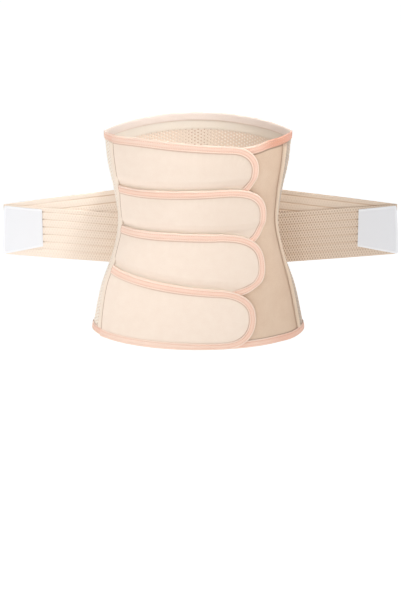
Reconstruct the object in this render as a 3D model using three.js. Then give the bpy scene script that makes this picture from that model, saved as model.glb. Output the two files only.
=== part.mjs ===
// A postpartum belly band in the shape that it takes round a body: an hourglass tube of cloth.
// A mesh panel goes round the back from side seam to side seam. An under panel carries on from the
// right seam across the front. Four tongue flaps come from the left seam, lap over each other from
// the bottom up and close on the under panel. Folded binding covers every cloth edge, a boned tape
// covers each side seam, and two crossed elastic bands with a hook tab reach out on either side.
//
// Millimetres, +Z up, front towards -Y, origin at the middle of the waist between the side seams.
// Angles round the tube are in degrees from the front, positive towards +X.
import * as THREE from "three";

// Cloth thicknesses, the folded binding and the clearance that pieces keep.
const GAP = 0.35;
const RIM_GAP = 0.6;
const FLAP_GAP = 0.45;
const PANEL_CLOTH = 1.8;
const FLAP_CLOTH = 1.4;
const BINDING = { cloth: 0.5, width: 11 };

// The tube's reference surface. Each section is a half in front and a half behind that draw in towards
// the sides: a power of 1 gives an ellipse, and a higher one a lens.
const SIDE_POWER = { front: 1.12, back: 1.56 };
const SECTIONS = [
  { z: -181, halfWidth: 163.2, frontDepth: 92, backDepth: 116, leftSeam: -65.0, rightSeam: 71.5 },
  { z: -110, halfWidth: 148.2, frontDepth: 81, backDepth: 104, leftSeam: -68.5, rightSeam: 72.5 },
  { z: -50, halfWidth: 127.7, frontDepth: 73, backDepth: 95, leftSeam: -71.0, rightSeam: 78.0 },
  { z: 0, halfWidth: 119.9, frontDepth: 71, backDepth: 92, leftSeam: -68.5, rightSeam: 74.5 },
  { z: 50, halfWidth: 126.2, frontDepth: 73, backDepth: 96, leftSeam: -65.0, rightSeam: 69.0 },
  { z: 95, halfWidth: 135.2, frontDepth: 75, backDepth: 103, leftSeam: -63.0, rightSeam: 66.5 },
  { z: 150, halfWidth: 139.6, frontDepth: 76, backDepth: 110, leftSeam: -64.0, rightSeam: 67.0 },
];

// Upper edge of the panels, from the under panel's hidden end round the back to the left seam.
const TOP_EDGE = [
  { angle: -52, z: 132 },
  { angle: 29, z: 133 },
  { angle: 40, z: 134.5 },
  { angle: 52, z: 139 },
  { angle: 75, z: 142 },
  { angle: 110, z: 140 },
  { angle: 180, z: 139 },
  { angle: 250, z: 140 },
  { angle: 287, z: 143 },
  { angle: 300, z: 144.5 },
];

// Lower edge of the panels, which hangs a little lower at the right of the front.
const BOTTOM_EDGE = [
  { angle: -52, z: -181 },
  { angle: 0, z: -182 },
  { angle: 23, z: -183.8 },
  { angle: 57, z: -184.3 },
  { angle: 75, z: -183 },
  { angle: 110, z: -181 },
  { angle: 300, z: -181 },
];

// How far each layer stands off the reference surface. A flap lies high over its own upper part and
// dips to the low lift before it goes under the next flap.
const BACK_LIFT = 3.0;
const UNDER_PANEL = { hiddenEnd: -52, riseFrom: 48, riseTo: 64 };
const FLAP_LIFT = { high: 7.0, low: 3.3, dipClear: 6, dipLength: 28 };

// Four tongue flaps. The upper edge is given at the seam, a third and two thirds of the way to the
// shoulder, and at the shoulder, where the round end starts. The tip is the end's furthest point.
const FLAPS = [
  { name: "flap_1", seamTop: 144.5, thirdTop: 147.5, twoThirdsTop: 144, shoulderTop: 138,
    shoulder: 20, tip: 40.2, tipZ: 94, seamBottom: 53, shoulderBottom: 53 },
  { name: "flap_2", seamTop: 64.5, thirdTop: 66, twoThirdsTop: 68.5, shoulderTop: 70,
    shoulder: 13, tip: 54.0, tipZ: 13, seamBottom: -28, shoulderBottom: -34 },
  { name: "flap_3", seamTop: -2.5, thirdTop: -1.5, twoThirdsTop: 0, shoulderTop: -1.5,
    shoulder: 12, tip: 49.2, tipZ: -48, seamBottom: -96, shoulderBottom: -104 },
  { name: "flap_4", seamTop: -68, thirdTop: -74.5, twoThirdsTop: -82, shoulderTop: -90,
    shoulder: 14, tip: 33.7, tipZ: -131, seamBottom: -180.5, shoulderBottom: -181 },
];
const FLAP_END = { power: 2.2, lastStep: 0.94 };

// Boned tapes over the side seams, bevelled along both sides. The offset takes a tape's middle from its
// seam towards +X on the front.
const TAPE = { cloth: 2.6, bevel: 2.0, edge: 0.8 };
const TAPES = [
  { name: "left_tape", seam: "leftSeam", width: 12, offset: -6 },
  { name: "right_tape", seam: "rightSeam", width: 10, offset: 2 },
];

// Ribbed elastic bands. On each side an upper and a lower one cross at a small angle and end
// together, a little narrower than they start. They are sewn to the back wall from rootStart to rootEnd
// and are flat from flatFrom out.
const BAND = { rootWidth: 88, width: 83, cloth: 1.7 };
const GROOVES = { fromTop: 7.5, pitch: 12.4, count: 6, width: 2.4, depth: 0.45 };
const BAND_RUN = { stand: 0.95, rootStart: 9, rootEnd: 30, flatFrom: 230, endY: 60, slope: 0.14 };
const BANDS = [
  { name: "lower_band", layer: 0, rootZ: -78, endZ: -39.5 },
  { name: "upper_band", layer: 1, rootZ: -13, endZ: -39.5 },
];
const WINGS = [
  { side: "left", sign: -1, reach: 309 },
  { side: "right", sign: 1, reach: 316 },
];
const TAB = {
  length: 61, outerHeight: 81, innerHeight: 62, bow: 1.6, lean: 2.4, cloth: 1.6, overhang: 1.5, arcSteps: 8,
};

// Grid of the curved walls: heights that the panels and tapes share, and steps of the other pieces.
const LEVELS = { from: -160, to: 120, steps: 14 };
const STEPS = { panelAngle: 8, flapRows: 8, flapRun: 10, flapEnd: 7, bandRun: 3 };

const MATERIALS = {
  mesh: { color: 0xf3e0cd, roughness: 0.9, metalness: 0 },
  loop: { color: 0xe8d2bc, roughness: 0.95, metalness: 0 },
  cream: { color: 0xfae8d8, roughness: 0.95, metalness: 0 },
  peach: { color: 0xf7d2bf, roughness: 0.8, metalness: 0 },
  elastic: { color: 0xf0ddc8, roughness: 0.85, metalness: 0 },
  hook: { color: 0xf8f8f9, roughness: 0.5, metalness: 0 },
};

const { clamp, degToRad, lerp, smoothstep } = THREE.MathUtils;

// Evenly spaced numbers from one end to the other, both included.
function spread(from, to, steps) {
  return Array.from({ length: steps + 1 }, (_, i) => lerp(from, to, i / steps));
}

// One column of a table on a smooth curve through its rows, at any place along another column.
function smooth(rows, along, column, place) {
  const last = rows.length - 1;
  const slope = (i) => {
    const before = rows[Math.max(i - 1, 0)];
    const after = rows[Math.min(i + 1, last)];
    return (after[column] - before[column]) / (after[along] - before[along]);
  };
  const at = clamp(place, rows[0][along], rows[last][along]);
  const i = clamp(rows.findIndex((row) => row[along] >= at) - 1, 0, last - 1);
  const span = rows[i + 1][along] - rows[i][along];
  const t = (at - rows[i][along]) / span;
  const startPart = (1 + 2 * t) * (1 - t) ** 2 * rows[i][column];
  const endPart = t ** 2 * (3 - 2 * t) * rows[i + 1][column];
  return startPart + endPart + span * t * (1 - t) * ((1 - t) * slope(i) - t * slope(i + 1));
}

const section = (column, z) => smooth(SECTIONS, "z", column, z);
const topEdge = (angle) => smooth(TOP_EDGE, "angle", "z", angle);
const bottomEdge = (angle) => smooth(BOTTOM_EDGE, "angle", "z", angle);
const levels = (bottom, top) => [bottom, ...spread(LEVELS.from, LEVELS.to, LEVELS.steps), top];

// Point of the tube at an angle and a height, lifted square to its section.
function tubePoint(angle, z, lift) {
  const [sine, cosine] = [Math.sin(degToRad(angle)), Math.cos(degToRad(angle))];
  const half = cosine > 0 ? "front" : "back";
  const halfWidth = section("halfWidth", z);
  const depth = section(`${half}Depth`, z);
  const power = SIDE_POWER[half];
  const slope = depth * power * Math.abs(cosine) ** (power - 1);
  const normal = new THREE.Vector2(slope * sine, -halfWidth * cosine).normalize();
  return new THREE.Vector3(
    halfWidth * sine + lift * normal.x,
    -Math.sign(cosine) * depth * Math.abs(cosine) ** power + lift * normal.y,
    z,
  );
}

// Degrees that a length takes up round the tube.
function degreesOf(length, angle, z) {
  const step = 0.5;
  const chord = tubePoint(angle - step, z, 0).distanceTo(tubePoint(angle + step, z, 0));
  return (length * 2 * step) / chord;
}

// Closed solid between two faces. Each station holds the same number of points on either face.
function wallSolid(stations) {
  const count = stations[0].inner.length;
  const positions = stations.flatMap(({ inner, outer }) => [...inner, ...outer]);
  const index = [];
  const corner = (station, face, i) => (2 * station + face) * count + i;
  const quad = (a, b, c, d) => index.push(a, b, c, a, c, d);
  const last = stations.length - 1;
  for (let s = 0; s < last; s += 1) {
    for (let i = 0; i < count - 1; i += 1) {
      quad(corner(s, 0, i), corner(s + 1, 0, i), corner(s + 1, 0, i + 1), corner(s, 0, i + 1));
      quad(corner(s, 1, i), corner(s, 1, i + 1), corner(s + 1, 1, i + 1), corner(s + 1, 1, i));
    }
    const top = count - 1;
    quad(corner(s, 0, 0), corner(s, 1, 0), corner(s + 1, 1, 0), corner(s + 1, 0, 0));
    quad(corner(s, 0, top), corner(s + 1, 0, top), corner(s + 1, 1, top), corner(s, 1, top));
  }
  for (let i = 0; i < count - 1; i += 1) {
    quad(corner(0, 0, i), corner(0, 0, i + 1), corner(0, 1, i + 1), corner(0, 1, i));
    quad(corner(last, 0, i), corner(last, 1, i), corner(last, 1, i + 1), corner(last, 0, i + 1));
  }
  if (volume(positions, index) < 0) {
    index.reverse();
  }
  return new THREE.BufferGeometry().setFromPoints(positions).setIndex(index);
}

// Signed volume inside a closed set of triangles, positive when they face out.
function volume(positions, index) {
  let sum = 0;
  for (let i = 0; i < index.length; i += 3) {
    const [a, b, c] = [0, 1, 2].map((k) => positions[index[i + k]]);
    sum += a.dot(new THREE.Vector3().crossVectors(b, c)) / 6;
  }
  return sum;
}

// Named piece with its material.
function part(name, geometry, material) {
  const mesh = new THREE.Mesh(geometry, new THREE.MeshStandardMaterial(MATERIALS[material]));
  mesh.name = name;
  return mesh;
}

// Lift of the panels. The under panel comes out level with the back panel before the right seam.
function panelLift(angle) {
  return BACK_LIFT * smoothstep(angle, UNDER_PANEL.riseFrom, UNDER_PANEL.riseTo);
}

// Angles of a panel's stations between two edges that lean with height.
function panelAngles(startAngle, endAngle) {
  const steps = Math.round((endAngle(0) - startAngle(0)) / STEPS.panelAngle);
  return spread(0, 1, steps).map((along) => (z) => lerp(startAngle(z), endAngle(z), along));
}

// Panel wall from the tube's lower to its upper edge.
function panelWall(angles) {
  const stations = angles.map((angleAt) => {
    const heights = levels(bottomEdge(angleAt(LEVELS.from)), topEdge(angleAt(LEVELS.to)));
    const face = (extra) => heights.map((z) => tubePoint(angleAt(z), z, panelLift(angleAt(z)) + extra));
    return { inner: face(0), outer: face(PANEL_CLOTH) };
  });
  return wallSolid(stations);
}

// Binding folded over a cloth edge: two leaves and the fold between them. Each edge point gives its
// angle, height and cloth lift, and the degrees and millimetres of one step into the cloth.
function foldedBinding(edge, cloth, gap) {
  const fold = gap + BINDING.cloth;
  const stations = edge.map(({ angle, z, lift, inward }) => {
    const point = (into, extra) => {
      const [atAngle, atZ] = [angle + inward.x * into, z + inward.y * into];
      return tubePoint(atAngle, atZ, lift(atAngle, atZ) + extra);
    };
    return {
      inner: [
        point(BINDING.width, cloth + gap),
        point(-gap, cloth + gap),
        point(-gap, -gap),
        point(BINDING.width, -gap),
      ],
      outer: [
        point(BINDING.width, cloth + fold),
        point(-fold, cloth + fold),
        point(-fold, -fold),
        point(BINDING.width, -fold),
      ],
    };
  });
  return wallSolid(stations);
}

// Binding along the upper or lower edge of both panels. One step into the cloth goes down or up.
function rimBinding(angles, edgeZ, step) {
  const edge = angles.map((angleAt) => {
    const angle = angleAt(edgeZ(angleAt(step < 0 ? LEVELS.to : LEVELS.from)));
    const z = edgeZ(angle);
    const lean = (angleAt(z + step * BINDING.width) - angle) / BINDING.width;
    return { angle, z, lift: panelLift, inward: new THREE.Vector2(lean, step) };
  });
  return foldedBinding(edge, PANEL_CLOTH, RIM_GAP);
}

// Upper and lower edge lines of a flap, carried on past the shoulder as if it had no round end.
function flapLines(flap, angle) {
  const seam = section("leftSeam", flap.seamTop);
  const run = flap.shoulder - seam;
  const rows = [
    { along: 0, z: flap.seamTop },
    { along: 1, z: flap.thirdTop },
    { along: 2, z: flap.twoThirdsTop },
    { along: 3, z: flap.shoulderTop },
  ];
  const along = clamp((3 * (angle - seam)) / run, 0, 3);
  const past = Math.max(angle - flap.shoulder, 0) / run;
  const endSlope = 3 * (flap.shoulderTop - flap.twoThirdsTop);
  const top = smooth(rows, "along", "z", along) + past * endSlope;
  const bottom = lerp(flap.seamBottom, flap.shoulderBottom, along / 3);
  return { top, bottom };
}

// A flap's real edges: past the shoulder both lines close on the tip in a rounded end.
function flapEdges(flap, angle) {
  const { top, bottom } = flapLines(flap, angle);
  const past = clamp((angle - flap.shoulder) / (flap.tip - flap.shoulder), 0, 1);
  const open = (1 - past ** FLAP_END.power) ** (1 / FLAP_END.power);
  return { top: lerp(flap.tipZ, top, open), bottom: lerp(flap.tipZ, bottom, open) };
}

// Lift of a flap's inner face, with the dip that takes it under the next flap's upper edge.
function flapLift(flap, angle, z) {
  const next = FLAPS[FLAPS.indexOf(flap) + 1];
  if (!next) {
    return FLAP_LIFT.high + panelLift(angle);
  }
  const low = flapLines(next, angle).top + FLAP_LIFT.dipClear;
  const up = smoothstep(z, low, low + FLAP_LIFT.dipLength);
  return lerp(FLAP_LIFT.low, FLAP_LIFT.high, up) + panelLift(angle);
}

// Angles of a flap's stations: even along the run, closer together towards the tip. The first one
// follows the leaning seam.
function flapAngles(flap) {
  const run = spread(0, 1, STEPS.flapRun).map((along) => (z) => lerp(flapStart(z), flap.shoulder, along));
  const end = spread(0, FLAP_END.lastStep, STEPS.flapEnd).slice(1).map((along) => {
    const reach = Math.sin((along * Math.PI) / 2);
    return () => lerp(flap.shoulder, flap.tip, reach);
  });
  return [...run, ...end];
}

// A flap starts just clear of the seam.
function flapStart(z) {
  const seam = section("leftSeam", z);
  return seam + degreesOf(2 * GAP, seam, z);
}

// One step up or down along the leaning seam, in degrees and millimetres.
function alongSeam(z, direction) {
  const lean = (flapStart(z + direction * BINDING.width) - flapStart(z)) / BINDING.width;
  return new THREE.Vector2(lean, direction);
}

// Flap wall from its lower to its upper edge, station by station towards the tip.
function flapWall(flap) {
  const stations = flapAngles(flap).map((angleAt) => {
    const { top, bottom } = flapEdges(flap, angleAt(flap.tipZ));
    const heights = spread(bottom, top, STEPS.flapRows);
    const face = (extra) => heights.map((z) => {
      return tubePoint(angleAt(z), z, flapLift(flap, angleAt(z), z) + extra);
    });
    return { inner: face(0), outer: face(FLAP_CLOTH) };
  });
  return wallSolid(stations);
}

// Binding round a flap: out along its upper edge, round the tip and back along its lower edge.
function flapBinding(flap) {
  const places = flapAngles(flap).map((angleAt) => {
    const { top, bottom } = flapEdges(flap, angleAt(flap.tipZ));
    return { upper: { angle: angleAt(top), z: top }, lower: { angle: angleAt(bottom), z: bottom } };
  });
  const tip = { angle: flap.tip, z: flap.tipZ };
  const outline = [...places.map((p) => p.upper), tip, ...places.map((p) => p.lower).reverse()];
  const edge = outline.map(({ angle, z }, i) => {
    const before = outline[Math.max(i - 1, 0)];
    const after = outline[Math.min(i + 1, outline.length - 1)];
    const degrees = degreesOf(1, angle, z);
    const run = new THREE.Vector2((after.angle - before.angle) / degrees, after.z - before.z).normalize();
    const atRoot = i === 0 || i === outline.length - 1;
    const inward = atRoot ? alongSeam(z, i === 0 ? -1 : 1) : new THREE.Vector2(run.y * degrees, -run.x);
    return { angle, z, lift: (a, h) => flapLift(flap, a, h), inward };
  });
  return foldedBinding(edge, FLAP_CLOTH, FLAP_GAP);
}

// Tape lying on the tube's outside along a leaning seam, between the rim bindings.
function seamTape(tape) {
  const centreAngle = (z) => {
    const seam = section(tape.seam, z);
    return seam + degreesOf(tape.offset, seam, z);
  };
  const ends = BINDING.width + 2 * GAP;
  const top = topEdge((centreAngle(LEVELS.to) + 360) % 360) - ends;
  const bottom = bottomEdge((centreAngle(LEVELS.from) + 360) % 360) + ends;
  const stations = levels(bottom, top).map((z) => {
    const half = tape.width / 2;
    const across = [-half, TAPE.bevel - half, half - TAPE.bevel, half];
    const lifts = [TAPE.edge, TAPE.cloth, TAPE.cloth, TAPE.edge];
    const base = BACK_LIFT + PANEL_CLOTH + RIM_GAP;
    const centre = centreAngle(z);
    const point = (offset, lift) => tubePoint(centre + degreesOf(offset, centre, z), z, base + lift);
    return {
      inner: across.map((offset) => point(offset, 0)),
      outer: across.map((offset, i) => point(offset, lifts[i])),
    };
  });
  return wallSolid(stations);
}

// Height offsets across a band, from below, with a groove between each pair of ribs. The top rib is
// the narrowest.
function ribProfile() {
  const profile = [{ across: -BAND.width / 2, depth: 0 }];
  for (let groove = GROOVES.count - 1; groove >= 0; groove -= 1) {
    const middle = BAND.width / 2 - GROOVES.fromTop - groove * GROOVES.pitch;
    profile.push({ across: middle - GROOVES.width / 2, depth: 0 });
    profile.push({ across: middle, depth: GROOVES.depth });
    profile.push({ across: middle + GROOVES.width / 2, depth: 0 });
  }
  profile.push({ across: BAND.width / 2, depth: 0 });
  return profile;
}

// Depth of the back wall's outside at a distance from the middle and a height.
function backFace(x, z) {
  const ratio = x / section("halfWidth", z);
  return section("backDepth", z) * (1 - ratio ** 2) ** (SIDE_POWER.back / 2) + BACK_LIFT + PANEL_CLOTH;
}

// Depth of the flat outer part of the bands' front layer.
function wingFace(x, reach) {
  return BAND_RUN.endY + BAND_RUN.slope * (reach - x);
}

// Ribbed band from the back wall out to the wing's end, with its layer standing behind the last.
function elasticBand(wing, band) {
  const { rootStart, rootEnd, flatFrom } = BAND_RUN;
  const profile = ribProfile();
  const stand = BAND_RUN.stand + band.layer * (BAND.cloth + RIM_GAP);
  const places = [rootStart, ...spread(rootEnd, flatFrom, STEPS.bandRun), wing.reach];
  const stations = places.map((x) => {
    const outward = (x - rootStart) / (wing.reach - rootStart);
    const middle = lerp(band.rootZ, band.endZ, outward);
    const widen = lerp(BAND.rootWidth, BAND.width, outward) / BAND.width;
    const flat = clamp((x - rootEnd) / (flatFrom - rootEnd), 0, 1);
    const face = (back) => profile.map(({ across, depth }) => {
      const z = middle + widen * across;
      const rooted = backFace(Math.min(x, rootEnd), z);
      const front = lerp(rooted, wingFace(Math.max(x, flatFrom), wing.reach), flat);
      const y = front + stand + (back ? BAND.cloth - depth : depth);
      return new THREE.Vector3(wing.sign * x, y, z);
    });
    return { inner: face(false), outer: face(true) };
  });
  return wallSolid(stations);
}

// Hook tab: a flat plate that narrows towards the body. Its outer edge is slightly bowed and leans, so
// that the lower corner reaches further out.
function hookTab(wing) {
  const shape = new THREE.Shape();
  const inner = -wing.sign * TAB.length;
  const outer = wing.sign * TAB.overhang;
  shape.moveTo(inner, -TAB.innerHeight / 2);
  const lean = wing.sign * TAB.lean;
  shape.lineTo(outer + lean, -TAB.outerHeight / 2);
  shape.quadraticCurveTo(outer + 2 * wing.sign * TAB.bow, 0, outer - lean, TAB.outerHeight / 2);
  shape.lineTo(inner, TAB.innerHeight / 2);
  shape.closePath();
  const settings = { depth: TAB.cloth, bevelEnabled: false, curveSegments: TAB.arcSteps };
  const geometry = new THREE.ExtrudeGeometry(shape, settings);
  geometry.rotateX(Math.PI / 2);
  return geometry;
}

const bellyBand = new THREE.Group();

const rightSeamEdge = (z, side) => {
  const seam = section("rightSeam", z);
  return seam + side * degreesOf(GAP / 2, seam, z);
};
const underAngles = panelAngles(() => UNDER_PANEL.hiddenEnd, (z) => rightSeamEdge(z, -1));
const backAngles = panelAngles((z) => rightSeamEdge(z, 1), (z) => 360 + section("leftSeam", z));
bellyBand.add(part("back_panel", panelWall(backAngles), "mesh"));
bellyBand.add(part("under_panel", panelWall(underAngles), "loop"));

for (const flap of FLAPS) {
  bellyBand.add(part(flap.name, flapWall(flap), "cream"));
  bellyBand.add(part(`${flap.name}_binding`, flapBinding(flap), "peach"));
}

const rimAngles = [...underAngles, ...backAngles.slice(1)];
bellyBand.add(part("top_binding", rimBinding(rimAngles, topEdge, -1), "peach"));
bellyBand.add(part("bottom_binding", rimBinding(rimAngles, bottomEdge, 1), "peach"));

for (const tape of TAPES) {
  bellyBand.add(part(tape.name, seamTape(tape), "cream"));
}

for (const wing of WINGS) {
  for (const elastic of BANDS) {
    bellyBand.add(part(`${wing.side}_${elastic.name}`, elasticBand(wing, elastic), "elastic"));
  }
  const tab = part(`${wing.side}_tab`, hookTab(wing), "hook");
  tab.position.set(wing.sign * wing.reach, BAND_RUN.endY + BAND_RUN.stand - GAP, BANDS[0].endZ);
  tab.rotation.z = -wing.sign * Math.atan(BAND_RUN.slope);
  bellyBand.add(tab);
}

export default bellyBand;
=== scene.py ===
import math

import bpy
import numpy as np
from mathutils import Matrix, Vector


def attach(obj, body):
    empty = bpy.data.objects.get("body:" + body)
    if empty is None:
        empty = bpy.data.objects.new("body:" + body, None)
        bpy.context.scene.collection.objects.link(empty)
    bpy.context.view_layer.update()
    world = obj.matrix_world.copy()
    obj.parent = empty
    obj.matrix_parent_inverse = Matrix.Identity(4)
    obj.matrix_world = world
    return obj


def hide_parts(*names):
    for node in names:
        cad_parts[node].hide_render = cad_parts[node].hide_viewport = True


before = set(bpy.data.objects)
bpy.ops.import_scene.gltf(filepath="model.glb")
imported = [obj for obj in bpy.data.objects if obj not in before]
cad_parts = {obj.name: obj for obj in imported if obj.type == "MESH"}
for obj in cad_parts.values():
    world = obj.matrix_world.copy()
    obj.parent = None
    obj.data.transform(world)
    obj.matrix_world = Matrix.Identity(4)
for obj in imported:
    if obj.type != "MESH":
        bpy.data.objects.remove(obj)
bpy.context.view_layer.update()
millimetre = 0.001  # shapes are worked out in millimetres, as the CAD is, and stored in metres
farAway = 999.0  # distance that keeps a point clear of a seam line
sharpAngle = 55  # edges that turn by more degrees are shaded sharp
print("frame loaded:", len(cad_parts), "nodes")


# Puts a camera or a lamp in the scene, looking along a direction.
def addAimed(data, at, forward):
    made = bpy.data.objects.new(data.name, data)
    made.location = at
    made.rotation_mode = "QUATERNION"
    made.rotation_quaternion = Vector(forward).to_track_quat("-Z", "Y")
    bpy.context.collection.objects.link(made)
    return made


# Camera at the photograph's angle: distance from the origin and its height angle, then the tilt and
# turn of its own axis. The sensor lies along the picture's long side.
photoCamera = {"distance": 3.2, "elevation": 18.5, "lookDown": 20.80, "turn": 0.07, "lens": 122.87}


def addCamera():
    rise, down, turn = (math.radians(photoCamera[key]) for key in ("elevation", "lookDown", "turn"))
    away = photoCamera["distance"]
    data = bpy.data.cameras.new("photo_camera")
    data.lens = photoCamera["lens"]
    forward = (math.sin(turn) * math.cos(down), math.cos(turn) * math.cos(down), -math.sin(down))
    bpy.context.scene.camera = addAimed(data, (0, -away * math.cos(rise), away * math.sin(rise)), forward)


addCamera()
print("camera placed")


# The tube that everything lies on. Each height has one bow in front and one behind, which meet in a
# point at both sides, and the angles of the two side seams, in degrees from the front towards +X.
tubeShape = {
    "frontPower": 1.12, "backPower": 1.56,
    "z": [-181, -110, -50, 0, 50, 95, 150],
    "halfWidth": [163.2, 148.2, 127.7, 119.9, 126.2, 135.2, 139.6],
    "frontDepth": [92, 81, 73, 71, 73, 75, 76],
    "backDepth": [116, 104, 95, 92, 96, 103, 110],
    "leftSeam": [-65, -68.5, -71, -68.5, -65, -63, -64],
    "rightSeam": [71.5, 72.5, 78, 74.5, 69, 66.5, 67],
}
panelShape = {
    "bottomAngle": [-52, 0, 23, 57, 75, 110, 300],
    "bottomZ": [-181, -182, -183.8, -184.3, -183, -181, -181],
    "topAngle": [-52, 29, 40, 52, 75, 110, 180, 250, 287, 300],
    "topZ": [132, 133, 134.5, 139, 142, 140, 139, 140, 143, 144.5],
    "topLevel": 120, "bottomLevel": -160,  # heights at which a station's angle picks its place on an edge
    "hiddenEnd": -52,  # where the under panel stops behind the flaps
    "riseFrom": 48, "riseTo": 64,  # the under panel comes out level with the back panel here
    "backLift": 3.0, "cloth": 1.8, "gap": 0.6,
}


# Cubic through the rows of a table: at each row the slope is that between its two neighbours.
def smoothCurve(xs, ys, at):
    xs, ys = np.asarray(xs, float), np.asarray(ys, float)
    row = np.arange(xs.size)
    before, after = np.maximum(row - 1, 0), np.minimum(row + 1, xs.size - 1)
    slope = (ys[after] - ys[before]) / (xs[after] - xs[before])
    at = np.clip(at, xs[0], xs[-1])
    i = np.clip(np.searchsorted(xs, at) - 1, 0, xs.size - 2)
    span = xs[i + 1] - xs[i]
    t = (at - xs[i]) / span
    ends = (1 + 2 * t) * (1 - t) ** 2 * ys[i] + t ** 2 * (3 - 2 * t) * ys[i + 1]
    return ends + span * t * (1 - t) * ((1 - t) * slope[i] - t * slope[i + 1])


# 0 below low, 1 above high, and a smooth S between them.
def easeStep(low, high, at):
    t = np.clip((at - low) / (high - low), 0, 1)
    return t * t * (3 - 2 * t)


# 1 between the two inner ones of four values, easing to 0 at the outer ones.
def between(steps, at):
    return easeStep(steps[0], steps[1], at) * easeStep(steps[3], steps[2], at)


def blendTo(a, b, share):
    return a + (b - a) * share


# A bell of height 1 about a middle.
def bell(at, middle, width):
    return np.exp(-(((at - middle) / width) ** 2))


def section(column, z):
    return smoothCurve(tubeShape["z"], tubeShape[column], z)


def topEdge(angle):
    return smoothCurve(panelShape["topAngle"], panelShape["topZ"], angle)


def bottomEdge(angle):
    return smoothCurve(panelShape["bottomAngle"], panelShape["bottomZ"], angle)


# Point of the tube at an angle and a height: half width by its sine, depth by a power of its cosine,
# and then the lift square to that bow.
def tubePoint(angle, z, lift):
    angle, z, lift = np.broadcast_arrays(angle, z, lift)
    sine, cosine = np.sin(np.radians(angle)), np.cos(np.radians(angle))
    inFront = cosine > 0
    halfWidth = section("halfWidth", z)
    depth = np.where(inFront, section("frontDepth", z), section("backDepth", z))
    power = np.where(inFront, tubeShape["frontPower"], tubeShape["backPower"])
    bow = np.maximum(np.abs(cosine), 1e-9)
    outX, outY = depth * power * bow ** (power - 1) * sine, -halfWidth * cosine
    size = np.hypot(outX, outY)
    x = halfWidth * sine + lift * outX / size
    y = np.where(inFront, -1, 1) * depth * bow ** power + lift * outY / size
    return np.stack([x, y, np.asarray(z, float)], -1)


# Degrees that a length takes up round the tube.
def degreesOf(length, angle, z):
    step = 0.5
    chord = np.linalg.norm(tubePoint(angle + step, z, 0) - tubePoint(angle - step, z, 0), axis=-1)
    return 2 * step * length / chord


# Lift of the panels off the tube: none in front, that of the back panel from the right seam on.
def panelLift(angle):
    return panelShape["backLift"] * easeStep(panelShape["riseFrom"], panelShape["riseTo"], angle)


# Angle of a place along both panels: 0 to 1 the under panel, 1 to 2 the back panel to the left seam.
def panelAngle(place, z):
    right = section("rightSeam", z)
    front = blendTo(panelShape["hiddenEnd"], right, np.minimum(place, 1))
    return front + (360 + section("leftSeam", z) - right) * np.clip(place - 1, 0, 1)


# Heights of the upper and lower edge at a place along both panels.
def panelEdges(place):
    top = topEdge(panelAngle(place, panelShape["topLevel"]))
    return top, bottomEdge(panelAngle(place, panelShape["bottomLevel"]))


# Slow uneven swells: a few sine waves in random directions, from -1 to 1 in all.
def softWaves(across, along, seed, longest, count=6):
    rng = np.random.default_rng(seed)
    turn, phase = rng.uniform(0, np.pi, count), rng.uniform(0, 2 * np.pi, count)
    reach = 2 * np.pi / (longest * rng.uniform(0.35, 1, count))
    way = across[..., None] * np.cos(turn) + along[..., None] * np.sin(turn)
    return np.sin(reach * way + phase).mean(-1)


# Puckers along a seam: sine of 2 pi times the length over the pitch, which wanders a little.
def puckerRipple(along, shape):
    wander = shape["wander"] * np.sin(along / shape["wanderLength"])
    return np.sin(2 * np.pi * along / shape["puckerPitch"] + wander)


# Lengths from the first point on, along a line or down each column of a grid.
def runLength(points):
    steps = np.linalg.norm(np.diff(points, axis=0), axis=-1)
    return np.concatenate([np.zeros_like(steps[:1]), np.cumsum(steps, axis=0)])


# Mesh object from arrays of points, quads and triangles, with its UV map and point attributes.
def addPiece(name, points, quads, finish, uv=None, values=None, triangles=None, nodes=()):
    mesh = bpy.data.meshes.new(name)
    mesh.vertices.add(len(points))
    mesh.vertices.foreach_set("co", (points * millimetre).astype(np.float32).ravel())
    triangles = np.zeros((0, 3), int) if triangles is None else triangles
    corners = np.concatenate([quads.ravel(), triangles.ravel()]).astype(np.int32)
    sizes = np.concatenate([np.full(len(quads), 4), np.full(len(triangles), 3)])
    mesh.loops.add(corners.size)
    mesh.loops.foreach_set("vertex_index", corners)
    mesh.polygons.add(sizes.size)
    mesh.polygons.foreach_set("loop_start", (np.cumsum(sizes) - sizes).astype(np.int32))
    if uv is not None:
        layer = mesh.uv_layers.new(name="cloth")
        layer.data.foreach_set("uv", (uv[corners] * millimetre).astype(np.float32).ravel())
    for label, value in (values or {}).items():
        attribute = mesh.attributes.new(label, "FLOAT", "POINT")
        attribute.data.foreach_set("value", value.astype(np.float32).ravel())
    mesh.update(calc_edges=True)
    mesh.shade_smooth()
    mesh.set_sharp_from_angle(angle=math.radians(sharpAngle))
    mesh.materials.append(finish)
    made = bpy.data.objects.new(name, mesh)
    bpy.context.collection.objects.link(made)
    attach(made, "root")
    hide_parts(*nodes)
    return made


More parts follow.
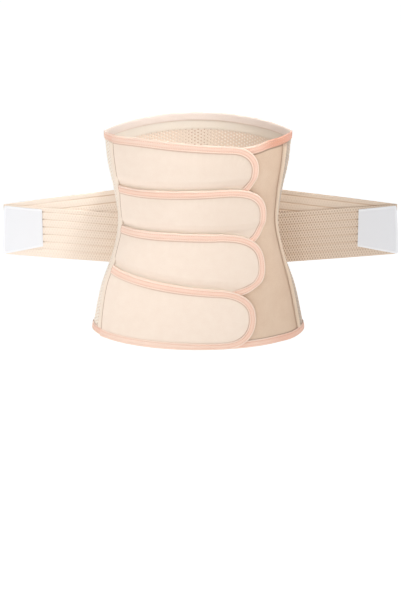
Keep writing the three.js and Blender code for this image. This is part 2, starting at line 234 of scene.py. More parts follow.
# Closed wall between two faces on the same grid, in place of the CAD node of its name: each row is one
# loop, up the outer face and back down the inner one, and the first and last rows are capped.
def addWall(name, outer, inner, uv, finish, values):
    rows, columns = outer.shape[:2]
    around = 2 * columns

    def asLoop(front, back):
        return np.concatenate([front, back[:, ::-1]], axis=1)

    def onBoth(value):
        value = np.broadcast_to(value, (rows, columns))
        return asLoop(value, value).ravel()

    points = asLoop(outer, inner).reshape(-1, 3)
    index = np.arange(rows * around).reshape(rows, around)
    here, ahead = index[:-1], index[1:]
    sides = np.stack([here, ahead, np.roll(ahead, -1, 1), np.roll(here, -1, 1)], -1).reshape(-1, 4)
    i = np.arange(columns - 1)
    cap = np.stack([i, i + 1, around - 2 - i, around - 1 - i], -1)
    quads = np.concatenate([sides, cap, (index[-1, 0] + cap)[:, ::-1]])
    a, b, c, d = (points[quads[:, k]] for k in range(4))
    volume = np.einsum("ij,ij->", a, np.cross(b, c)) + np.einsum("ij,ij->", a, np.cross(c, d))
    quads = quads if volume > 0 else quads[:, ::-1]
    uv = np.stack([onBoth(part) for part in uv], -1)
    values = {label: onBoth(value) for label, value in values.items()}
    return addPiece(name, points, quads, finish, uv, values, nodes=[name])


# Each stitch is a short arched thread: a spindle of three rings between two ends that dip in.
stitchShape = {
    "sides": 5, "along": (-0.55, 0, 0.55), "size": (0.85, 1, 0.85), "up": (0.1, 0.45, 0.1), "end": -0.7,
}


# Points of the stitches along a line, with their length, gap and thread from the sewn piece's own values.
def stitchRow(line, normals, sewn):
    places, length = runLength(line), sewn["stitch"]
    count = max(int(places[-1] // (length + sewn["stitchGap"])), 1)
    middle = (np.arange(count) + 0.5) * places[-1] / count

    def at(values, place):
        return np.stack([np.interp(place, places, values[:, k]) for k in range(3)], -1)

    start, end = at(line, middle - length / 2), at(line, middle + length / 2)
    along = (end - start) / np.linalg.norm(end - start, axis=1, keepdims=True)
    up = at(normals, middle)
    up -= along * (up * along).sum(1, keepdims=True)
    up /= np.linalg.norm(up, axis=1, keepdims=True)
    sides, tip = stitchShape["sides"], stitchShape["end"]
    turn = np.tile(np.arange(sides) * 2 * np.pi / sides, 3)
    ringAlong, ringSize, ringUp = (np.repeat(stitchShape[key], sides) for key in ("along", "size", "up"))
    lengthwise = np.concatenate([[-1], ringAlong, [1]]) * length / 2
    sidewise = np.concatenate([[0], ringSize * np.cos(turn), [0]]) * sewn["thread"]
    upward = np.concatenate([[tip], ringSize * np.sin(turn) + ringUp, [tip]]) * sewn["thread"]
    ways = ((along, lengthwise), (np.cross(along, up), sidewise), (up, upward))
    return ((start + end) / 2)[:, None] + sum(way[:, None] * reach[None, :, None] for way, reach in ways)


# All the stitch rows of a piece as one mesh of threads.
def addStitches(name, rows, finish):
    points, sides = np.concatenate(rows), stitchShape["sides"]
    each = points.shape[1]
    base = np.arange(len(points))[:, None, None] * each
    k = np.arange(sides)
    onward = (k + 1) % sides
    first, second, third = (1 + sides * ring for ring in range(3))
    pairs = ((first, second), (second, third))
    bands = [np.stack([a + k, a + onward, b + onward, b + k], -1) for a, b in pairs]
    ends = [(0 * k, first + onward, first + k), (0 * k + each - 1, third + k, third + onward)]
    quads = (base + np.concatenate(bands)).reshape(-1, 4)
    triangles = (base + np.concatenate([np.stack(end, -1) for end in ends])).reshape(-1, 3)
    return addPiece(name, points.reshape(-1, 3), quads, finish, triangles=triangles)


# Finishes. Colours are given as they show in daylight, 0 to 255, and made linear here.
def paint(colour):
    share = np.array(colour) / 255
    linear = np.where(share <= 0.04045, share / 12.92, ((share + 0.055) / 1.055) ** 2.4)
    return (*linear.tolist(), 1)


def addNode(tree, kind, inputs=None, **settings):
    made = tree.nodes.new(kind)
    for key, value in settings.items():
        setattr(made, key, value)
    for key, value in (inputs or {}).items():
        if isinstance(value, bpy.types.NodeSocket):
            tree.links.new(value, made.inputs[key])
        else:
            made.inputs[key].default_value = value
    return made


def sums(tree, operation, a, b=0.0, c=0.0):
    return addNode(tree, "ShaderNodeMath", {0: a, 1: b, 2: c}, operation=operation).outputs[0]


# Mix of two colours, each a socket or a daylight colour.
def mixed(tree, share, a, b):
    a, b = (paint(colour) if isinstance(colour, tuple) else colour for colour in (a, b))
    return addNode(tree, "ShaderNodeMix", {0: share, 6: a, 7: b}, data_type="RGBA").outputs[2]


def spanned(tree, value, low, high, outLow=0.0, outHigh=1.0):
    inputs = {0: value, 1: low, 2: high, 3: outLow, 4: outHigh}
    return addNode(tree, "ShaderNodeMapRange", inputs).outputs[0]


def clothPlace(tree):
    return addNode(tree, "ShaderNodeUVMap", uv_map="cloth").outputs[0]


def pointValue(tree, label):
    return addNode(tree, "ShaderNodeAttribute", attribute_name=label).outputs["Fac"]


# Node group from the names of its inputs and a function that works out its outputs.
def makeGroup(name, inputs, worked):
    tree = bpy.data.node_groups.new(name, "ShaderNodeTree")
    for label in inputs:
        kind = "NodeSocketVector" if label == "Place" else "NodeSocketFloat"
        tree.interface.new_socket(label, in_out="INPUT", socket_type=kind)
    outputs = worked(tree, tree.nodes.new("NodeGroupInput").outputs)
    for label in outputs:
        tree.interface.new_socket(label, in_out="OUTPUT", socket_type="NodeSocketFloat")
    put = tree.nodes.new("NodeGroupOutput")
    for label, socket in outputs.items():
        tree.links.new(socket, put.inputs[label])
    return tree


# Brushed nap: fine fibres over soft patches where the pile lies another way.
def brushedNap(tree, given):
    place, grain = given["Place"], given["Grain"]
    fibres = {"Vector": place, "Scale": grain, "Detail": 3.0, "Roughness": 0.7}
    fine = addNode(tree, "ShaderNodeTexNoise", fibres)
    patchScale = sums(tree, "MULTIPLY", grain, 0.05)
    patch = addNode(tree, "ShaderNodeTexNoise", {"Vector": place, "Scale": patchScale, "Detail": 2.0})
    height = sums(tree, "MULTIPLY_ADD", patch.outputs[0], 0.3, sums(tree, "MULTIPLY", fine.outputs[0], 0.7))
    return {"Height": height, "Tone": spanned(tree, height, 0.35, 0.65)}


# Plain weave on the cloth's own map: warp shows on one check and weft on the next, each a round thread.
def threadWeave(tree, given):
    place = addNode(tree, "ShaderNodeSeparateXYZ", {0: given["Place"]}).outputs
    u = sums(tree, "MULTIPLY", place[0], given["Warp"])
    v = sums(tree, "MULTIPLY", place[1], given["Weft"])
    turns = (sums(tree, "MULTIPLY", way, math.pi) for way in (u, v))
    warp, weft = (sums(tree, "ABSOLUTE", sums(tree, "SINE", turn)) for turn in turns)
    check = sums(tree, "PINGPONG", sums(tree, "ADD", sums(tree, "FLOOR", u), sums(tree, "FLOOR", v)), 1.0)
    height = addNode(tree, "ShaderNodeMix", {0: check, 2: warp, 3: weft}).outputs[0]
    return {"Height": height, "Tone": spanned(tree, height, 0.0, 0.8)}


# Line of a seam: 1 where a distance is that of the line, falling to 0 a width away from it.
def seamLine(tree, given):
    away = sums(tree, "ABSOLUTE", sums(tree, "SUBTRACT", given["Distance"], given["At"]))
    near = sums(tree, "SUBTRACT", 1.0, sums(tree, "DIVIDE", away, given["Width"]))
    return {"Mask": sums(tree, "MAXIMUM", near, 0.0)}


napGroup = makeGroup("brushed_nap", ("Place", "Grain"), brushedNap)
weaveGroup = makeGroup("thread_weave", ("Place", "Warp", "Weft"), threadWeave)
seamLineGroup = makeGroup("seam_line", ("Distance", "At", "Width"), seamLine)


def useNap(tree, grain):
    place = addNode(tree, "ShaderNodeTexCoord").outputs["Object"]
    return addNode(tree, "ShaderNodeGroup", {"Place": place, "Grain": grain}, node_tree=napGroup).outputs


def useWeave(tree, warp, weft):
    inputs = {"Place": clothPlace(tree), "Warp": warp, "Weft": weft}
    return addNode(tree, "ShaderNodeGroup", inputs, node_tree=weaveGroup).outputs


# Lays a seam line over a colour where a point attribute, in millimetres, is near a distance.
def withSeam(tree, cloth, label, at, width, colour, strength):
    inputs = {"Distance": pointValue(tree, label), "At": at, "Width": width}
    mask = addNode(tree, "ShaderNodeGroup", inputs, node_tree=seamLineGroup).outputs["Mask"]
    return mixed(tree, sums(tree, "MULTIPLY", mask, strength), cloth, colour)


# A finish has a surface, which gives its colour and height. Tones are laid over that by point attributes,
# then seam lines, each as attribute, distance, width, colour and strength. The bump is strength and depth.
def makeFinish(kept, surface):
    made = bpy.data.materials.new(kept["name"])
    made.use_nodes = True
    tree = made.node_tree
    inputs = tree.nodes["Principled BSDF"].inputs
    inputs["Roughness"].default_value = kept["roughness"]
    inputs["Specular IOR Level"].default_value = kept.get("specular", 0.25)
    inputs["Sheen Weight"].default_value = kept.get("sheen", 0.0)
    inputs["Sheen Roughness"].default_value = 0.5
    colour, height = surface(tree, kept)
    for label, tone in kept.get("tones", ()):
        colour = mixed(tree, pointValue(tree, label), colour, tone)
    for seam in kept.get("seams", ()):
        colour = withSeam(tree, colour, *seam)
    tree.links.new(colour, inputs["Base Color"])
    if "bump" in kept:
        strength, depth = kept["bump"]
        bump = addNode(tree, "ShaderNodeBump", {"Height": height, "Strength": strength, "Distance": depth})
        tree.links.new(bump.outputs[0], inputs["Normal"])
    return made


# Two tones mixed by the weave, by the nap, or by half of each.
def clothSurface(tree, kept):
    faces = [useWeave(tree, *kept["threads"])] if "threads" in kept else []
    faces += [useNap(tree, kept["grain"])] if "grain" in kept else []
    tone = faces[0]["Tone"]
    if len(faces) == 2:
        tone = sums(tree, "MULTIPLY_ADD", tone, 0.5, sums(tree, "MULTIPLY", faces[1]["Tone"], 0.5))
    return mixed(tree, tone, kept["dark"], kept["light"]), faces[0]["Height"]


# Brushed cloth of the flaps: pale nap, painted shade towards some round ends, a painted shade line in
# the crease where the binding is sewn down, painted light down in the lap, and a painted shade line at the
# side seam.
flapFinish = {
    "name": "flap_cloth", "roughness": 0.95, "sheen": 0.3, "grain": 1500, "bump": (0.35, 0.0006),
    "light": (252, 235, 219), "dark": (247, 227, 210),
    "tones": [("toEnd", (226, 206, 188))],
    "seams": [
        ("edgeDistance", 11.7, 1.9, (188, 124, 84), 0.55),
        ("lap", 0.0, 5.0, (255, 245, 229), 0.9),
        ("root", 0.2, 1.6, (150, 104, 76), 0.8),
    ],
}
# Looped cloth of the under panel: a deeper tone and a coarser, more open nap, with painted shade beside the
# right seam and a painted shade line in the creases along the rims.
loopFinish = {
    "name": "loop_cloth", "roughness": 0.97, "sheen": 0.25, "grain": 1000, "bump": (0.5, 0.0008),
    "light": (233, 208, 184), "dark": (223, 194, 169),
    "tones": [("shade", (196, 160, 130))],
    "seams": [("edgeDistance", 11.6, 1.8, (126, 86, 64), 0.65)],
}
# Folded binding: peach satin knit, deepest between its two sewn rows, with a deeper tone at the outermost
# roots, painted shade towards the right seam, a paler inner leaf and a painted shade line where it meets the
# side seam.
bindingFinish = {
    "name": "binding_cloth", "roughness": 0.72, "sheen": 0.3, "specular": 0.35, "bump": (0.35, 0.0004),
    "threads": (1400, 900), "grain": 700,
    "light": (255, 231, 214), "dark": (255, 221, 201),
    "tones": [
        ("band", (253, 207, 184)),
        ("deepToneAndShade", (226, 148, 116)),
        ("dip", (236, 172, 142)),
        ("innerLeaf", (255, 243, 234)),
    ],
    "seams": [("root", 0.2, 1.3, (170, 120, 92), 0.6)],
}
# Woven tape over the bones, with painted shade over the right tape and a painted shade line along its edges
# by the seams.
tapeFinish = {
    "name": "tape_cloth", "roughness": 0.8, "sheen": 0.25, "specular": 0.3, "bump": (0.4, 0.0004),
    "threads": (1100, 1100), "light": (255, 241, 224), "dark": (255, 231, 211),
    "tones": [("shade", (229, 203, 176))],
    "seams": [("edgeDistance", 0.2, 1.3, (150, 104, 76), 0.4)],
}
# Open mesh of the back, with painted shade by the right seam and a painted shade line in the creases along
# the rims.
meshFinish = {
    "name": "mesh_cloth", "roughness": 0.9, "sheen": 0.25, "bump": (0.3, 0.0004), "threads": (1250, 1250),
    "thread": (255, 243, 228), "plain": (255, 248, 236), "ground": (216, 184, 158),
    "sideThread": (254, 238, 221), "sideGround": (255, 250, 240),
    "tones": [("shade", (160, 131, 108))],
    "seams": [("edgeDistance", 11.5, 1.2, (220, 180, 156), 0.35)],
}
# The elastic's second tone is painted shade over the wings, its groove colour painted shade down in the
# grooves, and the dark spot colour painted shade where a groove runs in under the tab.
elasticFinish = {
    "name": "ribbed_elastic", "roughness": 0.85, "sheen": 0.2, "bump": (0.35, 0.0005),
    "light": (252, 238, 224), "wingShade": (231, 212, 193), "dark": (168, 132, 104), "groove": (206, 172, 142),
    "dotsAlong": 235, "dotsAcross": 250, "tabShade": (96, 80, 68), "tabShadeWidth": 4.0,
}
hookFinish = {
    "name": "hook_sheet", "roughness": 0.42, "specular": 0.5, "bump": (0.5, 0.0005),
    "light": (245, 246, 249), "dark": (232, 233, 237), "hooks": 900, "hemGloss": 0.34, "fieldGloss": 0.5,
}
threadFinish = {"roughness": 0.6, "sheen": 0.1, "specular": 0.4, "grain": 2500}


# Pale threads with painted shade down in each hole; inside, towards both sides, the holes are paler than the
# threads, painted as light coming through from behind.
def netSurface(tree, kept):
    hole = spanned(tree, pointValue(tree, "hole"), 0.15, 0.9)
    toSide = pointValue(tree, "toSide")
    threads = mixed(tree, toSide, kept["thread"], kept["sideThread"])
    threads = mixed(tree, pointValue(tree, "plain"), threads, kept["plain"])
    ground = mixed(tree, toSide, kept["ground"], kept["sideGround"])
    return mixed(tree, hole, threads, ground), useWeave(tree, *kept["threads"])["Height"]


# Ribbed elastic: an open knit of fine dots in staggered rows, painted shade over the wings, a thin line of
# painted shade down in each groove, and a dark spot of painted shade where a groove runs in under the tab.
def elasticSurface(tree, kept):
    place = addNode(tree, "ShaderNodeSeparateXYZ", {0: clothPlace(tree)}).outputs
    along = sums(tree, "SINE", sums(tree, "MULTIPLY", place[0], kept["dotsAlong"] * 2 * math.pi))
    across = sums(tree, "SINE", sums(tree, "MULTIPLY", place[1], kept["dotsAcross"] * math.pi))
    dots = spanned(tree, sums(tree, "MULTIPLY", along, across), 0.05, 0.75)
    opened = sums(tree, "MULTIPLY", dots, pointValue(tree, "openness"))
    ground = mixed(tree, pointValue(tree, "wingShade"), kept["light"], kept["wingShade"])
    groove = pointValue(tree, "groove")
    cloth = mixed(tree, groove, mixed(tree, opened, ground, kept["dark"]), kept["groove"])
    byTab = withSeam(tree, cloth, "fromTab", 0.0, kept["tabShadeWidth"], kept["tabShade"], 1.0)
    return mixed(tree, groove, cloth, byTab), sums(tree, "SUBTRACT", 1.0, dots)


# Hook sheet: white, slightly glossy, with rows of fine hooks and a smooth hem.
def hookSurface(tree, kept):
    inputs = {"Vector": clothPlace(tree), "Scale": kept["hooks"], "Randomness": 0.15}
    dots = addNode(tree, "ShaderNodeTexVoronoi", inputs).outputs["Distance"]
    field = sums(tree, "SUBTRACT", 1.0, pointValue(tree, "hem"))
    hooks = sums(tree, "MULTIPLY", field, spanned(tree, dots, 0.0, 0.6, 1.0, 0.0))
    gloss = spanned(tree, field, 0.0, 1.0, kept["hemGloss"], kept["fieldGloss"])
    tree.links.new(gloss, tree.nodes["Principled BSDF"].inputs["Roughness"])
    return mixed(tree, hooks, kept["light"], kept["dark"]), hooks


def makeThread(name, light, dark):
    return makeFinish({"name": name, "light": light, "dark": dark, **threadFinish}, clothSurface)


plainFinishes = (flapFinish, loopFinish, bindingFinish, tapeFinish)
flapCloth, loopCloth, bindingCloth, tapeCloth = (makeFinish(kept, clothSurface) for kept in plainFinishes)
meshCloth = makeFinish(meshFinish, netSurface)
elasticKnit = makeFinish(elasticFinish, elasticSurface)
hookSheet = makeFinish(hookFinish, hookSurface)
peachThread = makeThread("peach_thread", (248, 204, 180), (234, 182, 154))
creamThread = makeThread("cream_thread", (250, 232, 216), (226, 202, 180))
whiteThread = makeThread("white_thread", (248, 248, 250), (214, 214, 218))
print("finishes made:", len(bpy.data.materials))


# Folded binding. Its outside goes from the outer leaf's edge round the fold to the inner leaf's edge,
# its inside is one cloth thickness nearer. The outer leaf has a hem roll, a crown and two sewn dips.
bindingShape = {
    "width": 11, "cloth": 0.5, "foldFrom": 0.7, "leafSteps": 20, "foldSteps": 7, "innerSteps": 4,
    "rows": (2.6, 8.3), "middle": 5.45, "dip": 0.24, "dipWidth": 0.75, "crown": 0.3, "crownReach": 2.8,
    "hem": 0.26, "hemAt": 9.9, "hemWidth": 0.8,
    "pucker": 0.07, "puckerPitch": 5.2, "puckerReach": 3.6, "wander": 2, "wanderLength": 31,
    "swell": 0.12, "swellLength": 70,
    "bandIn": 0.5, "bandOut": 0.8,  # the deeper tone starts this far inside and outside the rows
    "bandDepth": 0.5, "dipDepth": 0.4,  # how far the tones between and along the sewn rows show
    "stitch": 2.9, "stitchGap": 0.7, "thread": 0.34, "stitchLift": 0.06,
}


def sewnDips(into):
    return sum(bell(into, row, bindingShape["dipWidth"]) for row in bindingShape["rows"])


def leafRelief(into):
    shape = bindingShape
    crown = shape["crown"] * np.clip(1 - ((into - shape["middle"]) / shape["crownReach"]) ** 2, 0, 1)
    hem = shape["hem"] * bell(into, shape["hemAt"], shape["hemWidth"])
    return crown + hem - shape["dip"] * sewnDips(into)


# Edge of a cloth as arrays: angle, height and the step into the cloth (degrees and millimetres for 1 mm),
# with the share of its full width that the binding has at each place.
def edgePoint(edge, into, height):
    into = into * np.where(into > 0, edge["share"][:, None], 1)
    angle = edge["angle"][:, None] + edge["inAngle"][:, None] * into
    z = edge["z"][:, None] + edge["inZ"][:, None] * into
    return tubePoint(angle, z, edge["lift"](angle, z) + height)


# Line that runs along an edge at one distance into the cloth.
def edgeLine(edge, into, height):
    return edgePoint(edge, np.array([[into]]), height)[:, 0]


def addBinding(name, edge, cloth, gap, seed):
    shape = bindingShape
    thick, width, start = shape["cloth"], shape["width"], shape["foldFrom"]
    outerInto = np.linspace(width, start, shape["leafSteps"])
    innerInto = np.linspace(start, width, shape["innerSteps"])
    turn = np.linspace(np.pi / 2, -np.pi / 2, shape["foldSteps"] + 2)[1:-1]
    top, radius = cloth + gap + thick, cloth / 2 + gap + thick
    bulge = (start + gap + thick) / radius

    # one row across the binding: values on the outer leaf, round the fold and on the inner leaf
    def profile(onOuter, onFold, onInner):
        return np.concatenate([onOuter + 0 * outerInto, onFold + 0 * turn, onInner + 0 * innerInto])[None]

    def face(shrink):
        fold = radius - shrink
        into = profile(outerInto, start - fold * bulge * np.cos(turn), innerInto)
        return into, profile(top - shrink, cloth / 2 + fold * np.sin(turn), shrink - gap - thick)

    outerAt, outerHeight = face(0)
    innerAt, innerHeight = face(thick)
    onLeaf = profile(1, 0, 0)
    along = runLength(edgeLine(edge, 0.0, cloth))[:, None]
    ripple = puckerRipple(along, shape)
    swell = softWaves(along, np.zeros_like(along), seed, shape["swellLength"])
    puckers = bell(outerAt, shape["middle"], shape["puckerReach"])
    puckers = puckers * (shape["pucker"] * ripple + shape["swell"] * (swell + 0.5))
    relief = onLeaf * leafRelief(outerAt)
    outer = edgePoint(edge, outerAt, outerHeight + relief + onLeaf * puckers)
    inner = edgePoint(edge, innerAt, innerHeight + 0.5 * relief)
    across = runLength(outer[0])
    (low, high), bandIn, bandOut = shape["rows"], shape["bandIn"], shape["bandOut"]
    band = between((low - bandOut, low + bandIn, high - bandIn, high + bandOut), outerAt)
    tone = onLeaf * edge["tone"][:, None]
    values = {
        "band": shape["bandDepth"] * band * tone, "dip": shape["dipDepth"] * sewnDips(outerAt) * tone,
        "innerLeaf": profile(0, np.linspace(0, 1, turn.size), 1) * edge["paler"][:, None],
        "deepToneAndShade": edge["deepToneAndShade"][:, None], "root": edge["root"][:, None],
    }
    made = addWall(name, outer, inner, (along, across), bindingCloth, values)
    rows = []
    for row in shape["rows"]:
        line = edgeLine(edge, row, top - shape["dip"] + shape["stitchLift"])
        rows.append(stitchRow(line, edgeLine(edge, row, top + 1) - line, shape))
    stitches = addStitches(name.replace("binding", "stitching"), rows, peachThread)


# Four tongue flaps. Upper edge heights stand at the seam, a third, two thirds and the shoulder, where
# the round end starts; the tip is the end's furthest point. The cloth has painted shade towards some ends,
# and the binding is paler on some upper edges.
flapShapes = [
    {"name": "flap_1", "tops": (144.5, 147.5, 144, 138), "shoulder": 20, "tip": 40.2, "tipZ": 94,
     "bottoms": (53, 53), "toEnd": 0.47, "paleTop": 0.7},
    {"name": "flap_2", "tops": (64.5, 66, 68.5, 70), "shoulder": 13, "tip": 54, "tipZ": 13,
     "bottoms": (-28, -34), "toEnd": 0.37, "paleTop": 0.0},
    {"name": "flap_3", "tops": (-2.5, -1.5, 0, -1.5), "shoulder": 12, "tip": 49.2, "tipZ": -48,
     "bottoms": (-96, -104), "toEnd": 0.2, "paleTop": 0.5},
    {"name": "flap_4", "tops": (-68, -74.5, -82, -90), "shoulder": 14, "tip": 33.7, "tipZ": -131,
     "bottoms": (-180.5, -181), "toEnd": 0.0, "paleTop": 0.3},
]
flapMake = {
    "cloth": 1.4, "gap": 0.45, "seamGap": 0.7, "endPower": 2.2,
    "high": 7.0, "low": 3.3, "dipClear": 1.5, "dipLength": 15,  # it dips before going under the next one
    "puff": 1.0, "puffFrom": 10.5, "puffTo": 34, "swell": 0.5, "swellLength": 110,
    "pucker": 0.2, "puckerPitch": 11, "puckerReach": 9, "puckerFrom": 11, "wander": 1.7, "wanderLength": 23,
    "swellSeed": 11, "bindingSeed": 31,
    "runSteps": 64, "endSteps": 36, "lastStep": 0.985, "rows": 60, "edgeRun": 62, "edgeEnd": 34,
    "rootReach": 15,  # so near the seam the binding's step turns to follow the seam's lean
    "rootDeepTone": 0.15, "deepToneReach": 25,  # deeper tone of the binding at its outermost roots
    "paleBottom": 0.85,  # the lower edges' binding is paler, as far as the round end
    "endShare": 0.86,  # the binding draws in to this share of its width round the end
    "roundEnd": (0.35, 0.95),  # shares of the length between which the round end begins
    "creaseFade": 2.6, "creaseEnd": (0.58, 0.72),  # the painted shade line of the crease fades out along the lower edge
    "seamFade": 2,  # takes the painted shade line at the side seam away where the flap has dipped
    "endShadeFrom": -20, "endShadePast": 15,  # angles between which the painted shade of the ends comes in
}


# Upper and lower lines of a flap, carried straight on past the shoulder.
def flapLines(flap, angle):
    tops, bottoms = flap["tops"], flap["bottoms"]
    seam = section("leftSeam", tops[0])
    run = flap["shoulder"] - seam
    along = np.clip(3 * (angle - seam) / run, 0, 3)
    past = np.maximum(angle - flap["shoulder"], 0) / run
    top = smoothCurve([0, 1, 2, 3], tops, along) + past * 3 * (tops[3] - tops[2])
    return top, blendTo(bottoms[0], bottoms[1], along / 3)


# Past the shoulder both lines close on the tip in a rounded end: opening = (1 - past^p)^(1/p).
def flapEdges(flap, angle):
    top, bottom = flapLines(flap, angle)
    past = np.clip((angle - flap["shoulder"]) / (flap["tip"] - flap["shoulder"]), 0, 1)
    opening = (1 - past ** flapMake["endPower"]) ** (1 / flapMake["endPower"])
    return blendTo(flap["tipZ"], top, opening), blendTo(flap["tipZ"], bottom, opening)


# 1 where a flap lies on top, 0 where it has dipped under the next flap's upper line.
def flapRise(number, angle, z):
    if number + 1 == len(flapShapes):
        return np.ones(np.broadcast(angle, z).shape)
    low = flapLines(flapShapes[number + 1], angle)[0] + flapMake["dipClear"]
    return easeStep(low, low + flapMake["dipLength"], z)


def flapLift(number, angle, z):
    return blendTo(flapMake["low"], flapMake["high"], flapRise(number, angle, z)) + panelLift(angle)


def flapStart(z):
    seam = section("leftSeam", z)
    return seam + degreesOf(flapMake["seamGap"], seam, z)


# Places along a flap: 0 to 1 from the leaning seam to the shoulder, 1 to 2 on to the tip.
def flapPlaces(runSteps, endSteps, last=1):
    return np.concatenate([np.linspace(0, 1, runSteps), 1 + np.linspace(0, last, endSteps)[1:]])


# Angle of a place along a flap, closer together towards the tip.
def flapAngle(flap, place, z):
    run = blendTo(flapStart(z), flap["shoulder"], np.minimum(place, 1))
    return run + (flap["tip"] - flap["shoulder"]) * np.sin(np.clip(place - 1, 0, 1) * np.pi / 2)


# A flap's outline: out along the upper edge, round the tip and back along the lower edge.
def flapOutline(number):
    flap, width = flapShapes[number], bindingShape["width"]
    place = flapPlaces(flapMake["edgeRun"], flapMake["edgeEnd"])
    top, bottom = flapEdges(flap, flapAngle(flap, place, flap["tipZ"]))
    z = np.concatenate([top, bottom[-2::-1]])
    angle = flapAngle(flap, np.concatenate([place, place[-2::-1]]), z)
    degree = degreesOf(1, angle, z)
    alongMm, upMm = np.gradient(angle) / degree, np.gradient(z)
    size = np.hypot(alongMm, upMm)
    fromRoot = runLength(tubePoint(angle, z, 0))
    rootDistance = np.minimum(fromRoot, fromRoot[-1] - fromRoot)
    root = 1 - np.clip(rootDistance / flapMake["rootReach"], 0, 1)
    upperHalf = np.arange(z.size) < z.size / 2
    up = np.where(upperHalf, -1.0, 1.0)
    lean = (flapStart(z + up * width) - flapStart(z)) / width
    # the first flap's upper edge and the last one's lower edge end at a rim, not at the side seam
    outermost = np.where(upperHalf, number == 0, number + 1 == len(flapShapes))
    seam = section("leftSeam", flap["tipZ"])
    roundEnd = easeStep(*flapMake["roundEnd"], (angle - seam) / (flap["tip"] - seam))
    pale = np.where(upperHalf, flap["paleTop"], flapMake["paleBottom"])
    return {
        "angle": angle, "z": z, "paler": np.zeros(z.size), "tone": 1 - pale * (1 - roundEnd),
        "deepToneAndShade": flapMake["rootDeepTone"] * outermost * np.exp(-rootDistance / flapMake["deepToneReach"]),
        "inAngle": blendTo(upMm / size * degree, lean, root), "inZ": blendTo(-alongMm / size, up, root),
        "root": np.where(outermost, farAway, rootDistance),
        "share": blendTo(1.0, flapMake["endShare"], roundEnd),
        "lift": lambda a, h: flapLift(number, a, h),
    }


# Distance of every point from the nearest point of a line, and that point's number on the line.
def edgeDistance(points, line):
    flat = points.reshape(-1, 3)
    square = (flat ** 2).sum(1)[:, None] + (line ** 2).sum(1)[None] - 2 * flat @ line.T
    distance = np.sqrt(np.maximum(square.min(1), 0))
    return distance.reshape(points.shape[:2]), square.argmin(1).reshape(points.shape[:2])


# A flap is a padded cloth: it lies on the tube with its lift, swells away from its sewn edge, and
# puckers a little beside the binding.
def addFlap(number):
    flap, make = flapShapes[number], flapMake
    name = flap["name"]
    place = flapPlaces(make["runSteps"], make["endSteps"], make["lastStep"])
    top, bottom = (edge[:, None] for edge in flapEdges(flap, flapAngle(flap, place, flap["tipZ"])))
    z = blendTo(bottom, top, np.linspace(0, 1, make["rows"])[None])
    angle = flapAngle(flap, place[:, None], z)
    lift, risen = flapLift(number, angle, z), flapRise(number, angle, z)
    inner = tubePoint(angle, z, lift)
    along = runLength(inner)
    outline = flapOutline(number)
    line = edgeLine(outline, 0.0, 0)
    distance, nearest = edgeDistance(inner, line)
    beside = runLength(line)[nearest]
    swell = softWaves(along, z, make["swellSeed"] + number, make["swellLength"])
    padding = (make["puff"] + make["swell"] * swell) * easeStep(make["puffFrom"], make["puffTo"], distance)
    ripple = puckerRipple(beside, make)
    fade = np.exp(-np.maximum(distance - make["puckerFrom"], 0) / make["puckerReach"])
    fade = fade * easeStep(make["puckerFrom"] - 2, make["puckerFrom"] + 2, distance)
    outer = tubePoint(angle, z, lift + make["cloth"] + risen * (padding + make["pucker"] * ripple * fade))
    lap = farAway
    if number + 1 < len(flapShapes):
        lapping = flapShapes[number + 1]
        lap = np.where(angle < lapping["tip"], z - flapEdges(lapping, angle)[0], farAway)
    # the painted shade line of the crease shows along the upper edge and the round end only
    unseen = make["creaseFade"] * easeStep(*make["creaseEnd"], nearest / len(line))
    values = {
        "edgeDistance": distance / outline["share"][nearest] + unseen,
        "lap": lap, "root": along + make["seamFade"] * (1 - risen),
        "toEnd": flap["toEnd"] * easeStep(make["endShadeFrom"], flap["shoulder"] + make["endShadePast"], angle),
    }
    made = addWall(name, outer, inner, (along, z), flapCloth, values)
    seed = make["bindingSeed"] + number
    addBinding(name + "_binding", outline, make["cloth"], make["gap"], seed)


for number in range(len(flapShapes)):
    addFlap(number)
print("flaps and their binding made:", len(flapShapes))


# Under panel: looped cloth from its hidden end to the right seam, with slow swells on its outside.
underShape = {
    "steps": 70, "rows": 80, "swell": 0.6, "longest": 90, "seed": 5,
    "calmFrom": 8, "calmTo": 30, "seamCalm": 9,  # swells start this far from the edges and the seam
    "shadeDepth": 0.5, "shadeReach": 13,  # deeper tone beside the seam
    "creaseDrop": 1.2,  # seen from above, the painted shade lines of the creases lie lower: out from the upper rim, into the lower one
    "creaseByWidth": 0.6, "widerFrom": 50, "widerTo": 68,  # the painted shade line of the crease is wider towards the right seam
}


def addUnderPanel():
    shape = underShape
    place = np.linspace(0, 1, shape["steps"])[:, None]
    top, bottom = panelEdges(place)
    z = blendTo(bottom, top, np.linspace(0, 1, shape["rows"])[None])
    angle = panelAngle(place, z)
    inner = tubePoint(angle, z, panelLift(angle))
    along = runLength(inner)
    calm = easeStep(0, shape["seamCalm"], section("rightSeam", z) - angle)
    for toEdge in (top - z, z - bottom):
        calm = calm * easeStep(shape["calmFrom"], shape["calmTo"], toEdge)
    swell = shape["swell"] * calm * softWaves(along, z, shape["seed"], shape["longest"])
    outer = tubePoint(angle, z, panelLift(angle) + panelShape["cloth"] + swell)
    toCrease = np.minimum(top - z - shape["creaseDrop"], z - bottom + shape["creaseDrop"])
    creaseAt = loopFinish["seams"][0][1]
    wider = blendTo(1, shape["creaseByWidth"], easeStep(shape["widerFrom"], shape["widerTo"], angle))
    values = {
        "edgeDistance": creaseAt + (toCrease - creaseAt) * wider,
        "shade": shape["shadeDepth"] * np.exp((along - along[-1]) / shape["shadeReach"]),
    }
    made = addWall("under_panel", outer, inner, (along, z), loopCloth, values)


addUnderPanel()
print("under panel made")


